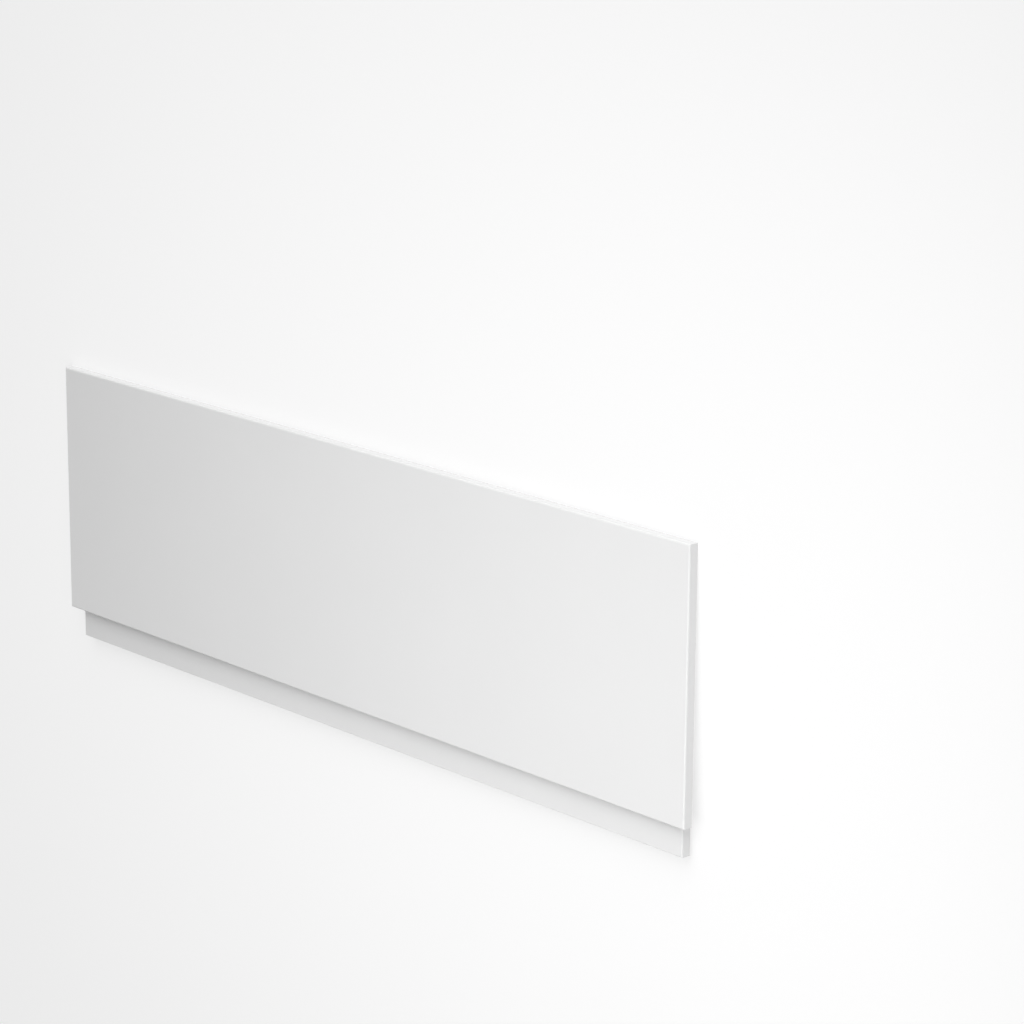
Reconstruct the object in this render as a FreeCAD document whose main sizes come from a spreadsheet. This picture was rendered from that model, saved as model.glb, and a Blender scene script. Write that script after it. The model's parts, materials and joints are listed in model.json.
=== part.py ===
"""Two-piece bath front panel: a gloss-faced board with a set-back plinth board screwed to its back.

Every piece is drawn in the panel's own frame, as if it hung under the rim of a bath:
X runs along the panel, Y up it from Y = 0 at its top edge, and Z out of its face from Z = 0 at its back.
The pieces are then laid face up on a level floor, where the panel rests on the back of its top edge
and on the back of the plinth's upper edge.
"""
import FreeCAD
import Part
import Sketcher
import os

# Driving dimensions, in millimetres apart from the count and the angles.
SIZES = {
    "panel_length": 1700,
    "panel_height": 485,
    "panel_thickness": 18,
    "panel_edge_radius": 3,
    "plinth_height": 150,
    "plinth_thickness": 18,
    "plinth_drop": 58,
    "plinth_end_inset": 20,
    "plinth_edge_radius": 2,
    "screw_count": 5,
    "screw_end_margin": 80,
    "screw_diameter": 4,
    "screw_head_diameter": 8,
    "screw_head_angle": 90,
    "screw_tip_length": 4,
    "screw_cover": 6,
    "screw_clearance": 0.2,
    "recess_length": 3.4,
    "recess_width": 1,
    "recess_depth": 1.6,
}

# Derived dimensions, as expressions on the sheet's cells.
PLINTH_FOOT = "(Sizes.panel_height + Sizes.plinth_drop)"
PLINTH_TOP = f"({PLINTH_FOOT} - Sizes.plinth_height)"
PLINTH_LENGTH = "(Sizes.panel_length - 2 * Sizes.plinth_end_inset)"
SCREW_LINE = f"(({PLINTH_TOP} + Sizes.panel_height) / 2)"
SCREW_SPAN = f"({PLINTH_LENGTH} - 2 * Sizes.screw_end_margin)"
SCREW_BITE = "(Sizes.panel_thickness - Sizes.screw_cover)"
HOLE_DIAMETER = "(Sizes.screw_diameter + 2 * Sizes.screw_clearance)"
SINK_DIAMETER = "(Sizes.screw_head_diameter + 2 * Sizes.screw_clearance)"
LYING_ANGLE = f"-atan(Sizes.plinth_thickness / {PLINTH_TOP})"
QUARTER_TURN = 90

doc = FreeCAD.newDocument("bath_front_panel")


def make_sheet():
    """The spreadsheet of driving dimensions, one aliased cell each."""
    sheet = doc.addObject("Spreadsheet::Sheet", "Sizes")
    for row, (alias, value) in enumerate(SIZES.items(), start=1):
        sheet.set(f"A{row}", alias)
        sheet.set(f"B{row}", str(value))
        sheet.setAlias(f"B{row}", alias)
    doc.recompute()
    return sheet


def make_body(name):
    """A body laid on the floor with the others, turned about X, the part's middle over the origin."""
    body = doc.addObject("PartDesign::Body", name)
    body.Label = name
    body.Placement = FreeCAD.Placement(FreeCAD.Vector(), FreeCAD.Rotation(FreeCAD.Vector(1, 0, 0), 0))
    body.setExpression("Placement.Rotation.Angle", LYING_ANGLE)
    body.setExpression("Placement.Base.y", f"{PLINTH_FOOT} / 2 * cos({LYING_ANGLE})")
    return body


def make_sketch(body, name, plane_role, **offsets):
    """An empty sketch on one of the body's own planes, moved by the given x, y or z expressions."""
    sketch = body.newObject("Sketcher::SketchObject", name)
    plane = next(item for item in body.Origin.OriginFeatures if item.Role == plane_role)
    sketch.AttachmentSupport = [(plane, "")]
    sketch.MapMode = "FlatFace"
    for axis, expression in offsets.items():
        sketch.setExpression(f"AttachmentOffset.Base.{axis}", expression)
    return sketch


def bind(sketch, kind, *places, **named_size):
    """Adds a dimension to the sketch, with a name of its own, and ties it to an expression."""
    (name, expression), = named_size.items()
    sketch.addConstraint(Sketcher.Constraint(kind, *places, 1.0))
    sketch.renameConstraint(sketch.ConstraintCount - 1, name)
    sketch.setExpression(f"Constraints.{name}", expression)


def draw_rectangle(sketch, length, height):
    """A rectangle about the sketch's own origin."""
    corners = [FreeCAD.Vector(x, y) for x, y in ((-1, 1), (1, 1), (1, -1), (-1, -1))]
    for start, end in zip(corners, corners[1:] + corners[:1]):
        sketch.addGeometry(Part.LineSegment(start, end))
    for side in range(4):
        sketch.addConstraint(Sketcher.Constraint("Coincident", side, 2, (side + 1) % 4, 1))
        sketch.addConstraint(Sketcher.Constraint("Vertical" if side % 2 else "Horizontal", side))
    sketch.addConstraint(Sketcher.Constraint("Symmetric", 0, 1, 1, 2, -1, 1))
    bind(sketch, "DistanceX", 0, 1, 0, 2, length=length)
    bind(sketch, "DistanceY", 1, 2, 1, 1, height=height)


def draw_circle(sketch, diameter):
    """A circle about the sketch's own origin."""
    sketch.addGeometry(Part.Circle(FreeCAD.Vector(), FreeCAD.Vector(0, 0, 1), 1))
    sketch.addConstraint(Sketcher.Constraint("Coincident", 0, 3, -1, 1))
    bind(sketch, "Diameter", 0, diameter=diameter)


def pad(body, sketch, length, backwards):
    """Grows a sketch drawn on the XY plane into a board, towards the face or away from it."""
    board = body.newObject("PartDesign::Pad", "board")
    board.Profile = sketch
    board.Reversed = backwards
    board.setExpression("Length", length)
    doc.recompute()
    return board


def round_front_edges(body, board, radius):
    """Rounds the four edges around a board's front face, the highest in Z in the body's own frame."""
    front = board.Shape.BoundBox.ZMax
    edges = [
        f"Edge{number}"
        for number, edge in enumerate(board.Shape.Edges, start=1)
        if min(vertex.Z for vertex in edge.Vertexes) > front - Part.Precision.confusion()
    ]
    rounding = body.newObject("PartDesign::Fillet", "front_edges")
    rounding.Base = (board, edges)
    rounding.setExpression("Radius", radius)
    doc.recompute()


def drill_row(body, sketch, depth=None, countersink=None):
    """Drills a hole at the sketch's circle, into the board above it, and repeats it along X."""
    hole = body.newObject("PartDesign::Hole", "screw_hole")
    hole.Profile = sketch
    hole.Reversed = True
    doc.recompute()
    hole.setExpression("Diameter", sketch.Name + ".Constraints.diameter")
    hole.DepthType = "Dimension" if depth else "ThroughAll"
    if depth:
        hole.setExpression("Depth", depth)
    if countersink:
        hole.HoleCutType = "Countersink"
        hole.HoleCutCustomValues = True
        hole.setExpression("HoleCutDiameter", countersink)
        hole.setExpression("HoleCutCountersinkAngle", "Sizes.screw_head_angle")
    doc.recompute()
    row = body.newObject("PartDesign::LinearPattern", "screw_holes")
    row.Originals = [hole]
    row.Direction = (sketch, ["H_Axis"])
    row.setExpression("Length", SCREW_SPAN)
    row.setExpression("Occurrences", "Sizes.screw_count")
    body.Tip = row
    doc.recompute()


def screw_x(index):
    """Where screw number index stands along the panel, from its middle."""
    return f"(-{SCREW_SPAN} / 2 + {index} * {SCREW_SPAN} / (Sizes.screw_count - 1))"


def make_front_panel():
    """The faced board, with rounded front edges and blind pilot holes in its back for the screws."""
    body = make_body("front_panel")
    outline = make_sketch(body, "panel_outline", "XY_Plane", y="-Sizes.panel_height / 2")
    draw_rectangle(outline, "Sizes.panel_length", "Sizes.panel_height")
    board = pad(body, outline, "Sizes.panel_thickness", backwards=False)
    round_front_edges(body, board, "Sizes.panel_edge_radius")
    pilot = make_sketch(body, "pilot_hole", "XY_Plane", x=screw_x(0), y=f"-{SCREW_LINE}")
    draw_circle(pilot, HOLE_DIAMETER)
    drill_row(body, pilot, depth=f"{SCREW_BITE} + Sizes.screw_clearance")
    return body


def make_plinth():
    """The set-back board behind the panel's lower edge, with countersunk holes from its back."""
    body = make_body("plinth")
    middle = f"-({PLINTH_TOP} + Sizes.plinth_height / 2)"
    outline = make_sketch(body, "plinth_outline", "XY_Plane", y=middle)
    draw_rectangle(outline, PLINTH_LENGTH, "Sizes.plinth_height")
    board = pad(body, outline, "Sizes.plinth_thickness", backwards=True)
    round_front_edges(body, board, "Sizes.plinth_edge_radius")
    place = {"x": screw_x(0), "y": f"-{SCREW_LINE}", "z": "-Sizes.plinth_thickness"}
    clearance_hole = make_sketch(body, "clearance_hole", "XY_Plane", **place)
    draw_circle(clearance_hole, HOLE_DIAMETER)
    drill_row(body, clearance_hole, countersink=SINK_DIAMETER)
    return body


def draw_screw_section(sketch):
    """Half the section of a countersunk screw: its flat head on the horizontal axis, its point upwards."""
    points = [FreeCAD.Vector(x, y) for x, y in ((0, 0), (2, 0), (1, 1), (1, 3), (0, 4))]
    for start, end in zip(points, points[1:] + points[:1]):
        sketch.addGeometry(Part.LineSegment(start, end))
    for side in range(5):
        sketch.addConstraint(Sketcher.Constraint("Coincident", side, 2, (side + 1) % 5, 1))
    sketch.addConstraint(Sketcher.Constraint("Coincident", 0, 1, -1, 1))
    sketch.addConstraint(Sketcher.Constraint("Horizontal", 0))
    sketch.addConstraint(Sketcher.Constraint("Vertical", 2))
    sketch.addConstraint(Sketcher.Constraint("Vertical", 4))
    shank_step = "(Sizes.screw_head_diameter - Sizes.screw_diameter) / 2"
    bind(sketch, "DistanceX", 0, 1, 0, 2, head_radius="Sizes.screw_head_diameter / 2")
    bind(sketch, "DistanceX", 4, 2, 2, 1, shank_radius="Sizes.screw_diameter / 2")
    bind(sketch, "DistanceY", 0, 2, 2, 1, head_depth=f"{shank_step} / tan(Sizes.screw_head_angle / 2)")
    bind(sketch, "DistanceY", 3, 1, 3, 2, tip_length="Sizes.screw_tip_length")
    bind(sketch, "DistanceY", 0, 1, 3, 2, overall_length=f"Sizes.plinth_thickness + {SCREW_BITE}")


def cut_cross_recess(body, slot):
    """Cuts the slot into the screw's head, and again a quarter turn on."""
    cut = body.newObject("PartDesign::Pocket", "slot_cut")
    cut.Profile = slot
    cut.Reversed = True
    cut.setExpression("Length", "Sizes.recess_depth")
    doc.recompute()
    cross = body.newObject("PartDesign::PolarPattern", "cross_recess")
    cross.Originals = [cut]
    cross.Axis = (slot, ["N_Axis"])
    cross.Angle = QUARTER_TURN
    cross.Occurrences = 2
    body.Tip = cross
    doc.recompute()


def make_screw(index):
    """One countersunk screw, flush with the plinth's back, its point inside the panel."""
    body = make_body(f"plinth_screw_{index + 1}")
    seat = {"x": screw_x(index), "y": "-Sizes.plinth_thickness", "z": SCREW_LINE}
    section = make_sketch(body, "screw_section", "XZ_Plane", **seat)
    draw_screw_section(section)
    shank = body.newObject("PartDesign::Revolution", "shank")
    shank.Profile = section
    shank.ReferenceAxis = (section, ["V_Axis"])
    doc.recompute()
    place = {"x": screw_x(index), "y": f"-{SCREW_LINE}", "z": "-Sizes.plinth_thickness"}
    slot = make_sketch(body, "recess_slot", "XY_Plane", **place)
    draw_rectangle(slot, "Sizes.recess_length", "Sizes.recess_width")
    cut_cross_recess(body, slot)
    return body


def check_document():
    """Stops the run if any object failed to compute."""
    for item in doc.Objects:
        if "Invalid" in item.State or "Error" in item.State:
            raise RuntimeError(f"{item.Label} failed: {item.State}")


def export(bodies):
    """Checks each sub-part's shape and writes it to a STEP file with the sub-part's name."""
    for body in bodies:
        if body.Shape.isNull() or not body.Shape.isValid() or len(body.Shape.Solids) != 1:
            raise RuntimeError(f"{body.Label} has no sound solid")
    os.makedirs("parts", exist_ok=True)
    for body in bodies:
        body.Shape.exportStep(f"parts/{body.Label}.step")
        box = body.Shape.BoundBox
        print(f"{body.Label}: {body.Shape.Volume:.1f} mm3, {box}")


sizes = make_sheet()
pieces = [make_front_panel(), make_plinth()]
pieces += [make_screw(index) for index in range(int(sizes.screw_count))]
doc.recompute()
check_document()
export(pieces)
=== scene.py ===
"""Looks of a two-piece bath front panel: foil-wrapped boards, zinc-plated screws and a small photo studio.

The boards and screws are modelled in the panel's own frame, X along the panel, Y up it and Z out of its
face, with the middle of its top edge at the origin. They are then laid down where the frame has them.
"""
import json
from contextlib import contextmanager
from math import cos, pi, radians, sin, sqrt, tan

import bmesh
import bpy
from bpy.props import FloatProperty, FloatVectorProperty, IntProperty, PointerProperty
from mathutils import Euler, Matrix, Vector


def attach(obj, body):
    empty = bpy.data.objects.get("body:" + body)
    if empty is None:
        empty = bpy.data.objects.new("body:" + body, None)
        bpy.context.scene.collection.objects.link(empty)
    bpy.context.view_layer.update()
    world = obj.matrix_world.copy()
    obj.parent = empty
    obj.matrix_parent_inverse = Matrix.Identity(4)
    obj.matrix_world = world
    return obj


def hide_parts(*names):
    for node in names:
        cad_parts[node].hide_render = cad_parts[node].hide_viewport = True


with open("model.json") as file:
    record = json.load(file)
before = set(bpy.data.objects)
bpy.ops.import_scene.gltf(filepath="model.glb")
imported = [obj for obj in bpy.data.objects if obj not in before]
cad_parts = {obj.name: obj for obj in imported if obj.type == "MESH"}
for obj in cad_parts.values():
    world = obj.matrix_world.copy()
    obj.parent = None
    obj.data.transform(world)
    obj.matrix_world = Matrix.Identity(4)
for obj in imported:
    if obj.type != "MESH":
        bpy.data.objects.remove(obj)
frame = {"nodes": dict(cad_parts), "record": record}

bl_info = {
    "name": "Bath front panel",
    "version": (1, 0, 0),
    "blender": (4, 5, 0),
    "location": "3D View > Sidebar > Bath Panel",
    "description": "Dresses a bath front panel, its plinth and its screws, and sets up a studio for it",
    "category": "Object",
}

# Units, tolerances and what the frame gives
MM = 0.001
MICRON = 0.001 * MM
TOUCH = 10 * MICRON             # Points closer than this count as one place.
CUTTER_CLEARANCE = 1 * MM       # A cutter starts this far outside what it cuts.
DRILL_POINT = radians(118)      # Angle of a drill's point.
SMOOTH_ANGLE = radians(35)      # Faces that meet at less than this are shaded as one surface.
LOOKS_BACK = -0.99              # A face whose normal's Z is below this looks out of a board's back.
LATHE_SIDES = 48                # Sides of what is turned on the lathe.
WHITE = (1, 1, 1, 1)
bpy.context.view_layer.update()           # Brought up to date before any piece is made.
MOUNTS = {mount["name"]: mount for mount in frame["record"]["mounts"]}
SCREW_NODES = sorted(node for node in frame["nodes"] if node.startswith("plinth_screw_"))


def lying_frame():
    """The panel's own frame as it lies on the floor, from the mounts on its top edge and plinth."""
    up_the_panel = Vector(MOUNTS["top_edge"]["axis"])
    out_of_face = -Vector(MOUNTS["plinth_back"]["axis"])
    along = up_the_panel.cross(out_of_face)
    turned = Matrix((along, up_the_panel, out_of_face)).transposed()
    return Matrix.Translation(MOUNTS["top_edge"]["pos_m"]) @ turned.to_4x4()


LYING = lying_frame()


def upright_box(node):
    """The lowest and highest corner of a CAD node in the panel's own frame."""
    stand_up = LYING.inverted()
    places = [stand_up @ vertex.co for vertex in frame["nodes"][node].data.vertices]
    return Vector(map(min, zip(*places))), Vector(map(max, zip(*places)))


def screw_seat(node):
    """The middle of a screw's head in the panel's own frame."""
    low, high = upright_box(node)
    return Vector(((low.x + high.x) / 2, (low.y + high.y) / 2, low.z))


def screw_size(node):
    """The head radius and the length of a screw."""
    low, high = upright_box(node)
    return (high.x - low.x) / 2, high.z - low.z


SCREW_SEATS = [screw_seat(node) for node in SCREW_NODES]
HEAD_RADIUS, SCREW_LENGTH = screw_size(SCREW_NODES[0])


# What a user can set
class BoardSizes(bpy.types.PropertyGroup):
    """Sizes of the boards that the frame doesn't give."""

    panel_edge_radius: FloatProperty(
        name="Panel edge radius", description="Rounding of the panel's front edges",
        default=3 * MM, unit="LENGTH")
    plinth_edge_radius: FloatProperty(
        name="Plinth edge radius", description="Rounding of the plinth's front edges",
        default=2 * MM, unit="LENGTH")
    edge_segments: IntProperty(
        name="Edge segments", description="Faces across a rounded edge",
        default=8, min=2)
    corner_softening: FloatProperty(
        name="Corner softening", description="Rounding of the mitre at a board's corners",
        default=0.6 * MM, unit="LENGTH")
    corner_segments: IntProperty(
        name="Corner segments", description="Faces across a softened corner",
        default=3, min=1)
    foil_thickness: FloatProperty(
        name="Foil thickness", description="Width of the trimmed foil around a board's back",
        default=0.4 * MM, unit="LENGTH")
    foil_lip: FloatProperty(
        name="Foil lip", description="How far the trimmed foil stands above the backing",
        default=0.1 * MM, unit="LENGTH")
    hole_clearance: FloatProperty(
        name="Hole clearance", description="Gap between a screw and its hole",
        default=0.2 * MM, unit="LENGTH")


class ScrewSizes(bpy.types.PropertyGroup):
    """Sizes of the screws that the frame doesn't give."""

    thread_diameter: FloatProperty(
        name="Thread diameter", description="Outside of the thread",
        default=4 * MM, unit="LENGTH")
    core_diameter: FloatProperty(
        name="Core diameter", description="Bottom of the thread",
        default=2.7 * MM, unit="LENGTH")
    head_rim: FloatProperty(
        name="Head rim", description="Height of the straight rim around the head",
        default=0.3 * MM, unit="LENGTH")
    tip_length: FloatProperty(
        name="Tip length", description="Length of the point",
        default=4 * MM, unit="LENGTH")
    thread_pitch: FloatProperty(
        name="Thread pitch", description="Rise of the thread in one turn",
        default=1.8 * MM, unit="LENGTH")
    thread_width: FloatProperty(
        name="Thread width", description="Width of the thread at its root",
        default=0.8 * MM, unit="LENGTH")
    thread_root: FloatProperty(
        name="Thread root", description="How far the thread is sunk into the core",
        default=0.2 * MM, unit="LENGTH")
    recess_length: FloatProperty(
        name="Recess length", description="Reach of the cross recess over the head",
        default=3.4 * MM, unit="LENGTH")
    recess_width: FloatProperty(
        name="Recess width", description="Width of the cross recess",
        default=1 * MM, unit="LENGTH")
    recess_depth: FloatProperty(
        name="Recess depth", description="Depth of the cross recess",
        default=1.6 * MM, unit="LENGTH")
    recess_taper: FloatProperty(
        name="Recess taper", description="Size of the recess at its bottom against its top",
        default=0.7, subtype="FACTOR", min=0.1, max=1.0)


class Finishes(bpy.types.PropertyGroup):
    """Colours of the boards and screws."""

    foil: FloatVectorProperty(
        name="Gloss foil", description="Colour of the wrapped face and edges",
        default=(0.77, 0.77, 0.77), subtype="COLOR")
    backing: FloatVectorProperty(
        name="Backing", description="Colour of the boards' backs",
        default=(0.74, 0.74, 0.73), subtype="COLOR")
    fibreboard: FloatVectorProperty(
        name="Fibreboard", description="Colour of the raw board in a hole",
        default=(0.42, 0.29, 0.17), subtype="COLOR")
    zinc: FloatVectorProperty(
        name="Zinc", description="Colour of the screws' plating",
        default=(0.72, 0.73, 0.75), subtype="COLOR")


class Studio(bpy.types.PropertyGroup):
    """The floor, the backdrop, the lights and the camera."""

    floor_size: FloatProperty(
        name="Floor size", description="Side of the square floor",
        default=40.0, unit="LENGTH")
    floor_colour: FloatVectorProperty(
        name="Floor colour", description="Colour of the floor",
        default=(0.35, 0.35, 0.35), subtype="COLOR")
    floor_glow: FloatProperty(
        name="Floor glow", description="Light that the floor gives off by itself",
        default=0.6, min=0.0)
    backdrop_colour: FloatVectorProperty(
        name="Backdrop colour", description="Colour of the backdrop, as pale as the floor's far end",
        default=(0.77, 0.77, 0.77), subtype="COLOR")
    ambient: FloatProperty(
        name="Ambient light", description="Brightness of the light from all round",
        default=0.226, min=0.0)
    key_place: FloatVectorProperty(
        name="Key light place", description="Middle of the square soft light over the panel",
        default=(0.8, 0.0, 1.5), subtype="TRANSLATION")
    key_aim: FloatVectorProperty(
        name="Key light aim", description="Point that the key light faces",
        default=(0.0, 0.0, 0.0), subtype="TRANSLATION")
    key_size: FloatProperty(
        name="Key light size", description="Side of the key light",
        default=2.4, unit="LENGTH")
    key_power: FloatProperty(
        name="Key light power", description="Power of the key light",
        default=25.9, subtype="POWER")
    far_direction: FloatVectorProperty(
        name="Far light direction", description="Way to the far light, beyond the panel's top edge",
        default=(0.2, 0.86, 0.5), subtype="DIRECTION")
    far_spread: FloatProperty(
        name="Far light spread", description="Angle that the far light covers in the sky",
        default=radians(50), subtype="ANGLE")
    far_strength: FloatProperty(
        name="Far light strength", description="Strength of the far light",
        default=1.81, min=0.0)
    strip_count: IntProperty(
        name="Strip lights", description="Strip lights in the ring around the panel",
        default=8, min=0)
    strip_turn: FloatProperty(
        name="Strip light turn", description="Turn of the ring, so that the camera sees none of it",
        default=radians(-1.5), subtype="ANGLE")
    strip_distance: FloatProperty(
        name="Strip light distance", description="Radius of the ring",
        default=4.0, unit="LENGTH")
    strip_width: FloatProperty(
        name="Strip light width", description="Width of a strip light",
        default=0.5, unit="LENGTH")
    strip_height: FloatProperty(
        name="Strip light height", description="Height of a strip light",
        default=4.5, unit="LENGTH")
    strip_brightness: FloatProperty(
        name="Strip light brightness", description="Brightness of a strip light",
        default=0.6, min=0.0)
    camera_aim: FloatVectorProperty(
        name="Camera aim", description="Point on the floor in the middle of the picture",
        default=(0.4097, 0.2322, 0.0), subtype="TRANSLATION")
    camera_distance: FloatProperty(
        name="Camera distance", description="From the camera to its aim",
        default=5.886, unit="LENGTH")
    camera_azimuth: FloatProperty(
        name="Camera azimuth", description="Turn of the camera round the panel, from looking along Y",
        default=radians(112.247), subtype="ANGLE")
    camera_elevation: FloatProperty(
        name="Camera elevation", description="Height of the camera above the floor's horizon",
        default=radians(40.043), subtype="ANGLE")
    camera_roll: FloatProperty(
        name="Camera roll", description="Turn of the picture, so that the panel's top edge is at the top",
        default=radians(-106.296), subtype="ANGLE")
    lens: FloatProperty(
        name="Lens", description="Focal length on a 36 mm sensor",
        default=122.26, unit="CAMERA", min=1.0)


# Shader maths
class Shade:
    """A place in a node tree: one output socket, or the bare tree. Arithmetic on it adds Math nodes."""

    def __init__(self, tree, socket=None):
        self.tree = tree
        self.socket = socket

    def node(self, kind, settings, sockets, output=None):
        """Adds a node, sets it up, feeds its sockets by their identifiers and returns one of its outputs."""
        made = self.tree.nodes.new(kind)
        for name, value in settings.items():
            setattr(made, name, value)
        inputs = {socket.identifier: socket for socket in made.inputs}
        outputs = {socket.identifier: socket for socket in made.outputs}
        for name, value in sockets.items():
            if isinstance(value, Shade):
                self.tree.links.new(value.socket, inputs[name])
            else:
                inputs[name].default_value = value
        return Shade(self.tree, outputs[output] if output else next(iter(outputs.values()), None))

    def math(self, operation, first, second):
        """Adds a Math node."""
        return self.node("ShaderNodeMath", {"operation": operation}, {"Value": first, "Value_001": second})

    def __add__(self, other):
        return self.math("ADD", self, other)

    __radd__ = __add__

    def __mul__(self, other):
        return self.math("MULTIPLY", self, other)

    __rmul__ = __mul__


def noise(place, size, detail=2.0, roughness=0.5):
    """Soft noise from 0 to 1 whose lumps are about the given size across, in metres."""
    sockets = {"Vector": place, "Scale": 1 / size, "Detail": detail, "Roughness": roughness}
    return place.node("ShaderNodeTexNoise", {}, sockets, "Fac")


def between(amount, first, second):
    """A value that goes from the first to the second as the amount goes from 0 to 1."""
    return amount * (second - first) + first


def tinted(amount, colour, darkest, lightest):
    """A colour that goes from its darkest to its lightest share as the amount goes from 0 to 1."""
    shares = {"A_Color": darkest, "B_Color": lightest}
    colours = {name: (*(channel * share for channel in colour), 1) for name, share in shares.items()}
    sockets = {"Factor_Float": amount, **colours}
    return amount.node("ShaderNodeMix", {"data_type": "RGBA"}, sockets, "Result_Color")


def relief(microns):
    """A normal from a height in microns."""
    return microns.node("ShaderNodeBump", {}, {"Distance": MICRON, "Height": microns}, "Normal")


def new_material(name):
    """An empty material, with the object's own coordinates to build its patterns on."""
    material = bpy.data.materials.new(name)
    material.use_nodes = True
    material.node_tree.nodes.clear()
    return material, Shade(material.node_tree).node("ShaderNodeTexCoord", {}, {}, "Object")


def show(surface):
    """Feeds a shader to its material's output."""
    surface.node("ShaderNodeOutputMaterial", {}, {"Surface": surface})


def finish_material(place, **sockets):
    """Shows a principled shader, whose sockets are named with underscores."""
    named = {name.replace("_", " "): value for name, value in sockets.items()}
    show(place.node("ShaderNodeBsdfPrincipled", {}, named, "BSDF"))


# Finishes
def gloss_foil(colour):
    """White high-gloss foil: a hard clear gloss with faint orange peel on a board that is not quite flat."""
    material, place = new_material("gloss_foil")
    mottle = noise(place, size=180 * MM, detail=3)
    haze = noise(place, size=350 * MM, detail=4, roughness=0.6)
    orange_peel = noise(place, size=3 * MM)
    waviness = noise(place, size=160 * MM, detail=1)
    finish_material(
        place,
        Base_Color=tinted(mottle, colour, darkest=0.985, lightest=1.01),
        Roughness=between(haze, 0.03, 0.08),
        IOR=1.52,
        Normal=relief(3 * orange_peel + 60 * waviness),
    )
    return material


def melamine_backing(colour):
    """Matt white paper backing with a fine pearled grain."""
    material, place = new_material("melamine_backing")
    pearl = noise(place, size=1.2 * MM, detail=3)
    cloud = noise(place, size=90 * MM, detail=4)
    finish_material(
        place,
        Base_Color=tinted(cloud, colour, darkest=0.96, lightest=1.03),
        Roughness=between(pearl, 0.42, 0.62),
        Normal=relief(45 * pearl),
    )
    return material


def raw_fibreboard(colour):
    """Cut fibreboard: a felt of fine brown fibres."""
    material, place = new_material("raw_fibreboard")
    fibres = noise(place, size=0.4 * MM, detail=5, roughness=0.7)
    finish_material(
        place,
        Base_Color=tinted(fibres, colour, darkest=0.7, lightest=1.3),
        Roughness=between(fibres, 0.8, 0.95),
        Normal=relief(60 * fibres),
    )
    return material


def zinc_plating(colour):
    """Bright zinc plating over turned steel, a little cloudy."""
    material, place = new_material("zinc_plating")
    cloud = noise(place, size=2 * MM, detail=3)
    grain = noise(place, size=0.3 * MM)
    finish_material(
        place,
        Base_Color=tinted(cloud, colour, darkest=0.85, lightest=1.1),
        Metallic=1.0,
        Roughness=between(cloud, 0.22, 0.42),
        Normal=relief(2 * grain),
    )
    return material


def finish(recipe, colour):
    """The material that a recipe makes, made once and shared by the pieces that use it."""
    return bpy.data.materials.get(recipe.__name__) or recipe(colour)


# Modelling steps
def select_only(piece):
    """Makes the piece the active object and the only one selected."""
    bpy.ops.object.select_all(action="DESELECT")
    piece.select_set(True)
    bpy.context.view_layer.objects.active = piece


def add(primitive, name, **settings):
    """Adds a primitive as the only object selected, with its size and place in its mesh."""
    bpy.ops.object.select_all(action="DESELECT")
    primitive(**settings)
    bpy.ops.object.transform_apply()
    piece = bpy.context.object
    piece.name = name
    return piece


@contextmanager
def edit_mode(piece):
    """Edit mode on one piece, with all of it selected at the start."""
    select_only(piece)
    bpy.ops.object.mode_set(mode="EDIT")
    bpy.ops.mesh.select_mode(type="EDGE")
    bpy.ops.mesh.select_all(action="SELECT")
    yield
    bpy.ops.object.mode_set(mode="OBJECT")


def select_where(piece, belongs):
    """In edit mode, selects the edges, and the faces between them, whose ends and middle belong."""
    mesh = bmesh.from_edit_mesh(piece.data)
    bpy.ops.mesh.select_all(action="DESELECT")
    for edge in mesh.edges:
        start, end = (point.co for point in edge.verts)
        edge.select_set(belongs(start) and belongs(end) and belongs((start + end) / 2))
    mesh.select_flush_mode()
    bmesh.update_edit_mesh(piece.data)


def use_modifier(piece, kind, **settings):
    """Adds a modifier, sets it up and applies it."""
    select_only(piece)
    modifier = piece.modifiers.new(kind.title(), kind)
    for name, value in settings.items():
        setattr(modifier, name, value)
    bpy.ops.object.modifier_apply(modifier=modifier.name)


def combine(piece, other, operation):
    """Joins another shape to the piece or cuts it out of the piece, and removes that shape."""
    use_modifier(piece, "BOOLEAN", operation=operation, solver="EXACT", object=other)
    bpy.data.objects.remove(other)


def turn_on_lathe(name, rings):
    """A round closed solid about the Z axis, through its rings of radius and height, lowest first."""
    (radius, height), *others = rings
    piece = add(
        bpy.ops.mesh.primitive_circle_add, name, vertices=LATHE_SIDES, radius=radius, fill_type="NGON",
        location=(0, 0, height))
    with edit_mode(piece):
        for next_radius, next_height in others:
            rise = (0, 0, next_height - height)
            bpy.ops.mesh.extrude_region_move(TRANSFORM_OT_translate={"value": rise})
            if next_radius:
                grow = next_radius / radius
                bpy.ops.transform.resize(value=(grow, grow, 1), center_override=(0, 0, 0))
            else:
                bpy.ops.mesh.merge(type="COLLAPSE")
            radius, height = next_radius, next_height
        bpy.ops.mesh.select_all(action="SELECT")
        bpy.ops.mesh.normals_make_consistent(inside=False)
    return piece


def move(piece, place):
    """Puts a piece at a place and keeps that place in its mesh."""
    select_only(piece)
    piece.matrix_world = place
    bpy.ops.object.transform_apply()


def hand_over(piece, node):
    """Lays a finished piece down, smooths it and lets it stand for its CAD node."""
    move(piece, LYING)
    bpy.ops.object.shade_smooth_by_angle(angle=SMOOTH_ANGLE)
    use_modifier(piece, "WEIGHTED_NORMAL", keep_sharp=True)
    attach(piece, "root")
    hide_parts(node)


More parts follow.
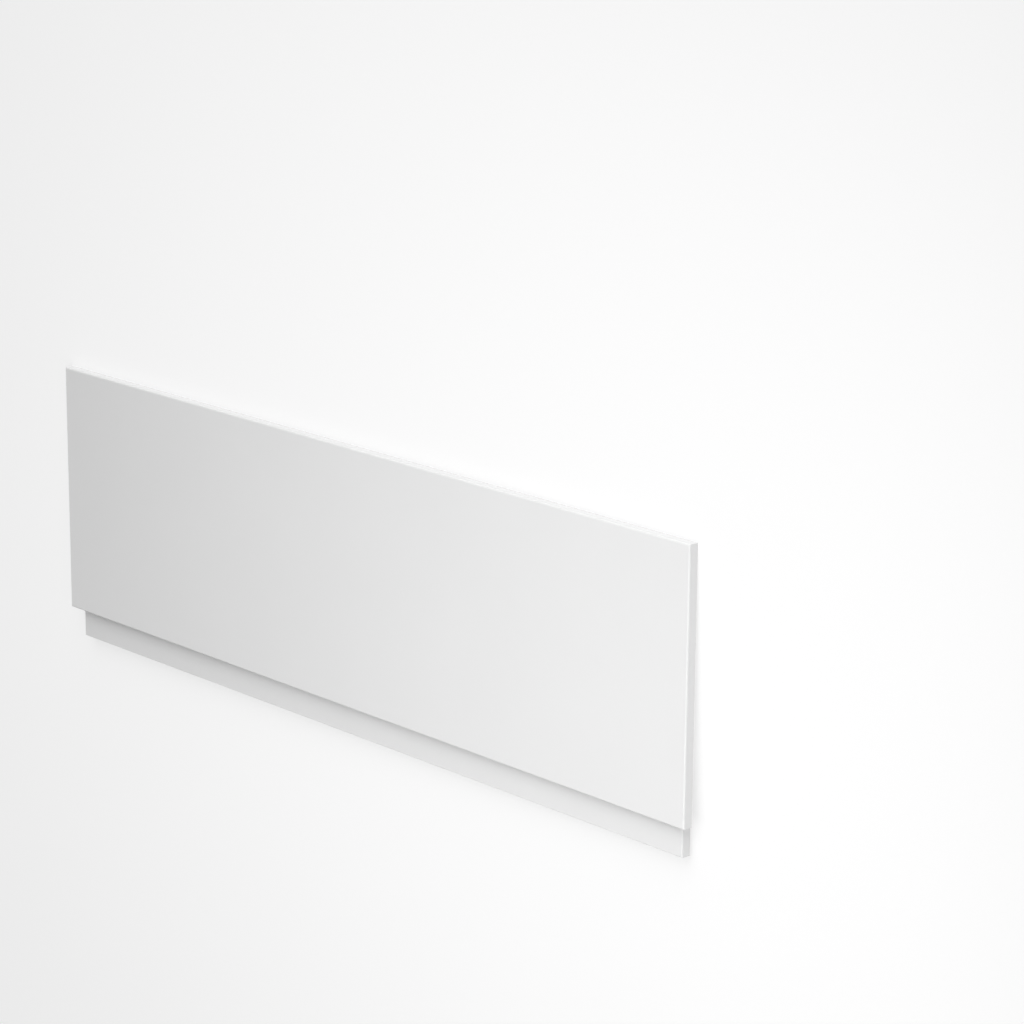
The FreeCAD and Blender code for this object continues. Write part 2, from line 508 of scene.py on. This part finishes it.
# Boards
def make_board(name, node, edge_radius, sizes):
    """A board with rounded front edges, softened corners and a trimmed foil lip around its back."""
    low, high = upright_box(node)
    board = add(bpy.ops.mesh.primitive_cube_add, name, size=1, location=(low + high) / 2, scale=high - low)

    def on_mitre(point):
        from_end = min(point.x - low.x, high.x - point.x)
        from_side = min(point.y - low.y, high.y - point.y)
        return abs(from_end - from_side) < TOUCH and from_end < edge_radius + TOUCH

    with edit_mode(board):
        select_where(board, lambda point: point.z > high.z - TOUCH)
        bpy.ops.mesh.bevel(offset=edge_radius, segments=sizes.edge_segments, affect="EDGES")
        select_where(board, on_mitre)
        bpy.ops.mesh.bevel(offset=sizes.corner_softening, segments=sizes.corner_segments, affect="EDGES")
        select_where(board, lambda point: point.z < low.z + TOUCH)
        bpy.ops.mesh.inset(thickness=sizes.foil_thickness, depth=-sizes.foil_lip)
    return board


def shank_hole(scene):
    """The radius of a hole that takes a screw's thread."""
    return scene.bath_panel_screws.thread_diameter / 2 + scene.bath_panel_boards.hole_clearance


def drill(board, rings):
    """Drills a hole at each screw, through rings of radius and height above the screw's head."""
    for seat in SCREW_SEATS:
        drill_bit = turn_on_lathe("drill_bit", rings)
        move(drill_bit, Matrix.Translation(seat))
        combine(board, drill_bit, "DIFFERENCE")


def paint_board(board, node, hole_radius, finishes):
    """Gives a board its foil, the backing inside the foil's lip and raw board in its holes."""
    low, _ = upright_box(node)
    recipes = {
        gloss_foil: finishes.foil,
        melamine_backing: finishes.backing,
        raw_fibreboard: finishes.fibreboard,
    }
    foil, backing, raw = range(len(recipes))
    for recipe, colour in recipes.items():
        board.data.materials.append(finish(recipe, colour))
    for face in board.data.polygons:
        points = [board.data.vertices[index].co for index in face.vertices]
        in_hole = any(
            all((point - seat).xy.length < hole_radius + TOUCH for point in points) for seat in SCREW_SEATS)
        on_back = face.normal.z < LOOKS_BACK and all(point.z > low.z + TOUCH for point in points)
        face.material_index = raw if in_hole else backing if on_back else foil


# Operators
class BATHPANEL_OT_front_panel(bpy.types.Operator):
    """Makes the gloss front panel, with blind pilot holes in its back"""

    bl_idname = "bathpanel.front_panel"
    bl_label = "Front Panel"

    def execute(self, context):
        sizes = context.scene.bath_panel_boards
        hole = shank_hole(context.scene)
        depth = SCREW_LENGTH + sizes.hole_clearance
        tip = depth + hole / tan(DRILL_POINT / 2)
        board = make_board("gloss_front_panel", "front_panel", sizes.panel_edge_radius, sizes)
        drill(board, [(hole, 0), (hole, depth), (0, tip)])
        paint_board(board, "front_panel", hole, context.scene.bath_panel_finishes)
        hand_over(board, "front_panel")
        return {"FINISHED"}


class BATHPANEL_OT_plinth(bpy.types.Operator):
    """Makes the set-back plinth, with countersunk screw holes"""

    bl_idname = "bathpanel.plinth"
    bl_label = "Plinth"

    def execute(self, context):
        sizes = context.scene.bath_panel_boards
        shank = shank_hole(context.scene)
        head = HEAD_RADIUS + sizes.hole_clearance
        mouth = (head + CUTTER_CLEARANCE, -CUTTER_CLEARANCE)
        board = make_board("gloss_plinth", "plinth", sizes.plinth_edge_radius, sizes)
        drill(board, [mouth, (shank, head - shank), (shank, SCREW_LENGTH)])
        paint_board(board, "plinth", head, context.scene.bath_panel_finishes)
        hand_over(board, "plinth")
        return {"FINISHED"}


class BATHPANEL_OT_plinth_screws(bpy.types.Operator):
    """Makes the countersunk screws that hold the plinth to the panel"""

    bl_idname = "bathpanel.plinth_screws"
    bl_label = "Plinth Screws"

    def execute(self, context):
        sizes = context.scene.bath_panel_screws
        screw = self.make_screw(sizes)
        screw.data.materials.append(finish(zinc_plating, context.scene.bath_panel_finishes.zinc))
        for node, seat in zip(SCREW_NODES, SCREW_SEATS):
            select_only(screw)
            bpy.ops.object.duplicate()
            copy = bpy.context.object
            copy.name = node.replace("plinth", "zinc")
            move(copy, Matrix.Translation(seat))
            hand_over(copy, node)
        bpy.data.objects.remove(screw)
        return {"FINISHED"}

    def make_screw(self, sizes):
        """One screw, its head's flat at the origin and its point up the Z axis."""
        core = sizes.core_diameter / 2
        neck = sizes.head_rim + HEAD_RADIUS - core
        tip = SCREW_LENGTH - sizes.tip_length
        head = [(HEAD_RADIUS, 0), (HEAD_RADIUS, sizes.head_rim)]
        screw = turn_on_lathe("screw", [*head, (core, neck), (core, tip), (0, SCREW_LENGTH)])
        combine(screw, self.make_thread(sizes, neck, tip), "UNION")
        for turn in (0, radians(90)):
            combine(screw, self.make_recess(sizes, turn), "DIFFERENCE")
        with edit_mode(screw):
            bpy.ops.mesh.remove_doubles(threshold=MICRON)
            bpy.ops.mesh.dissolve_degenerate(threshold=MICRON)
        return screw

    def make_thread(self, sizes, start, end):
        """The screw's thread, a triangular ridge wound up the core."""
        core, crest = sizes.core_diameter / 2, sizes.thread_diameter / 2
        ridge = crest - core + sizes.thread_root
        # A triangle in a circle of radius 1 is 1.5 high and the square root of 3 wide.
        circle = ridge / 1.5
        squash = sizes.thread_width / (sqrt(3) * circle)
        turns = int((end - start) / sizes.thread_pitch)
        middle = (crest - circle, 0, end - turns * sizes.thread_pitch)
        thread = add(
            bpy.ops.mesh.primitive_circle_add, "thread", vertices=3, radius=circle, location=middle,
            rotation=(radians(90), radians(90), 0))
        with edit_mode(thread):
            bpy.ops.transform.resize(value=(1, 1, squash), center_override=middle)
        steps = LATHE_SIDES // 2
        use_modifier(
            thread, "SCREW", axis="Z", screw_offset=sizes.thread_pitch, iterations=turns, steps=steps,
            render_steps=steps)
        # Turned by half a side, so that the thread's points miss the core's.
        half_a_side = radians(360) / LATHE_SIDES / 2
        move(thread, Matrix.Rotation(half_a_side, 4, "Z"))
        with edit_mode(thread):
            bpy.ops.mesh.fill_holes(sides=3)
            bpy.ops.mesh.select_all(action="SELECT")
            bpy.ops.mesh.normals_make_consistent(inside=False)
        return thread

    def make_recess(self, sizes, turn):
        """One slot of the cross recess, narrower at its bottom."""
        height = sizes.recess_depth + CUTTER_CLEARANCE
        recess = add(
            bpy.ops.mesh.primitive_cube_add, "recess", size=1, rotation=(0, 0, turn),
            location=(0, 0, height / 2 - CUTTER_CLEARANCE),
            scale=(sizes.recess_length, sizes.recess_width, height))
        with edit_mode(recess):
            select_where(recess, lambda point: point.z > sizes.recess_depth - TOUCH)
            taper = (sizes.recess_taper, sizes.recess_taper, 1)
            bpy.ops.transform.resize(value=taper, center_override=(0, 0, 0))
        return recess


class BATHPANEL_OT_studio(bpy.types.Operator):
    """Makes the floor, the backdrop, the lights and the camera"""

    bl_idname = "bathpanel.studio"
    bl_label = "Studio"

    def execute(self, context):
        studio = context.scene.bath_panel_studio
        self.make_floor(studio)
        self.make_backdrop(studio)
        self.light_room(context, studio)
        self.light_panel(studio)
        self.light_gloss(studio)
        self.make_camera(context, studio)
        return {"FINISHED"}

    def make_floor(self, studio):
        """A plain pale floor that the panel lies on."""
        floor = add(bpy.ops.mesh.primitive_plane_add, "studio_floor", size=studio.floor_size)
        material, place = new_material("studio_floor")
        finish_material(
            place,
            Base_Color=(*studio.floor_colour, 1),
            Roughness=0.9,
            Specular_IOR_Level=0.0,
            Emission_Color=WHITE,
            Emission_Strength=studio.floor_glow,
        )
        floor.data.materials.append(material)

    def make_backdrop(self, studio):
        """A plain pale dome around the floor, which gives no light and shows in no reflection."""
        backdrop = add(bpy.ops.mesh.primitive_uv_sphere_add, "studio_backdrop", radius=studio.floor_size / 2)
        material, place = new_material("studio_backdrop")
        show(place.node("ShaderNodeEmission", {}, {"Color": (*studio.backdrop_colour, 1)}, "Emission"))
        material.cycles.emission_sampling = "NONE"
        backdrop.data.materials.append(material)
        backdrop.visible_diffuse = False
        backdrop.visible_glossy = False
        backdrop.visible_shadow = False

    def light_room(self, context, studio):
        """Even light from all round, shown as it is."""
        world = bpy.data.worlds.new("studio_light")
        world.use_nodes = True
        background = world.node_tree.nodes["Background"]
        background.inputs["Color"].default_value = WHITE
        background.inputs["Strength"].default_value = studio.ambient
        context.scene.world = world
        context.scene.view_settings.view_transform = "Standard"

    def light_panel(self, studio):
        """A large soft key light over the panel, and a wide far light beyond its top edge."""
        key_place = Vector(studio.key_place)
        key = self.make_light("AREA", "key_light", key_place, key_place - Vector(studio.key_aim))
        key.data.size = studio.key_size
        key.data.energy = studio.key_power
        far = self.make_light("SUN", "far_light", (0, 0, 0), Vector(studio.far_direction))
        far.data.angle = studio.far_spread
        far.data.energy = studio.far_strength
        far.visible_glossy = False

    def light_gloss(self, studio):
        """A ring of tall strip lights that shows in the gloss alone."""
        for index in range(studio.strip_count):
            turn = studio.strip_turn + radians(360) * index / studio.strip_count
            back = Vector((cos(turn), sin(turn), 0))
            place = back * studio.strip_distance + Vector((0, 0, studio.strip_height / 2))
            strip = self.make_light("AREA", f"strip_light_{index + 1}", place, back)
            strip.data.shape = "RECTANGLE"
            strip.data.size = studio.strip_width
            strip.data.size_y = studio.strip_height
            # A flat lamp's power is pi times its brightness and its area.
            strip.data.energy = pi * studio.strip_brightness * studio.strip_width * studio.strip_height
            strip.visible_diffuse = False

    def make_light(self, kind, name, place, back):
        """A lamp that shines away from its back, and is itself out of the picture."""
        bpy.ops.object.light_add(type=kind, location=place, rotation=back.to_track_quat("Z", "Y").to_euler())
        lamp = bpy.context.object
        lamp.name = name
        lamp.visible_camera = False
        return lamp

    def make_camera(self, context, studio):
        """A long lens that looks down on the lying panel, turned so that its top edge is at the top."""
        upright = Euler((radians(90) - studio.camera_elevation, 0, studio.camera_azimuth)).to_matrix()
        turned = upright @ Matrix.Rotation(studio.camera_roll, 3, "Z")
        back = upright @ Vector((0, 0, studio.camera_distance))
        bpy.ops.object.camera_add(location=Vector(studio.camera_aim) + back, rotation=turned.to_euler())
        camera = bpy.context.object
        camera.data.lens = studio.lens
        camera.data.clip_end = studio.floor_size
        context.scene.camera = camera


# Sidebar panel and registration
class VIEW3D_PT_bath_front_panel(bpy.types.Panel):
    """Lists the pieces of the bath front panel and what can be set on them"""

    bl_label = "Bath Front Panel"
    bl_space_type = "VIEW_3D"
    bl_region_type = "UI"
    bl_category = "Bath Panel"

    def draw(self, context):
        for operator in OPERATORS:
            self.layout.operator(operator.bl_idname)
        for name in GROUPS:
            settings = getattr(context.scene, name)
            box = self.layout.box()
            for key in settings.__annotations__:
                box.prop(settings, key)


GROUPS = {
    "bath_panel_boards": BoardSizes,
    "bath_panel_screws": ScrewSizes,
    "bath_panel_finishes": Finishes,
    "bath_panel_studio": Studio,
}
OPERATORS = (
    BATHPANEL_OT_front_panel,
    BATHPANEL_OT_plinth,
    BATHPANEL_OT_plinth_screws,
    BATHPANEL_OT_studio,
)
CLASSES = (*GROUPS.values(), *OPERATORS, VIEW3D_PT_bath_front_panel)


def register():
    for cls in CLASSES:
        bpy.utils.register_class(cls)
    for name, group in GROUPS.items():
        setattr(bpy.types.Scene, name, PointerProperty(type=group))


def unregister():
    for name in GROUPS:
        delattr(bpy.types.Scene, name)
    for cls in reversed(CLASSES):
        bpy.utils.unregister_class(cls)


def main():
    register()
    bpy.ops.bathpanel.front_panel()
    bpy.ops.bathpanel.plinth()
    bpy.ops.bathpanel.plinth_screws()
    bpy.ops.bathpanel.studio()


if __name__ == "__main__":
    main()
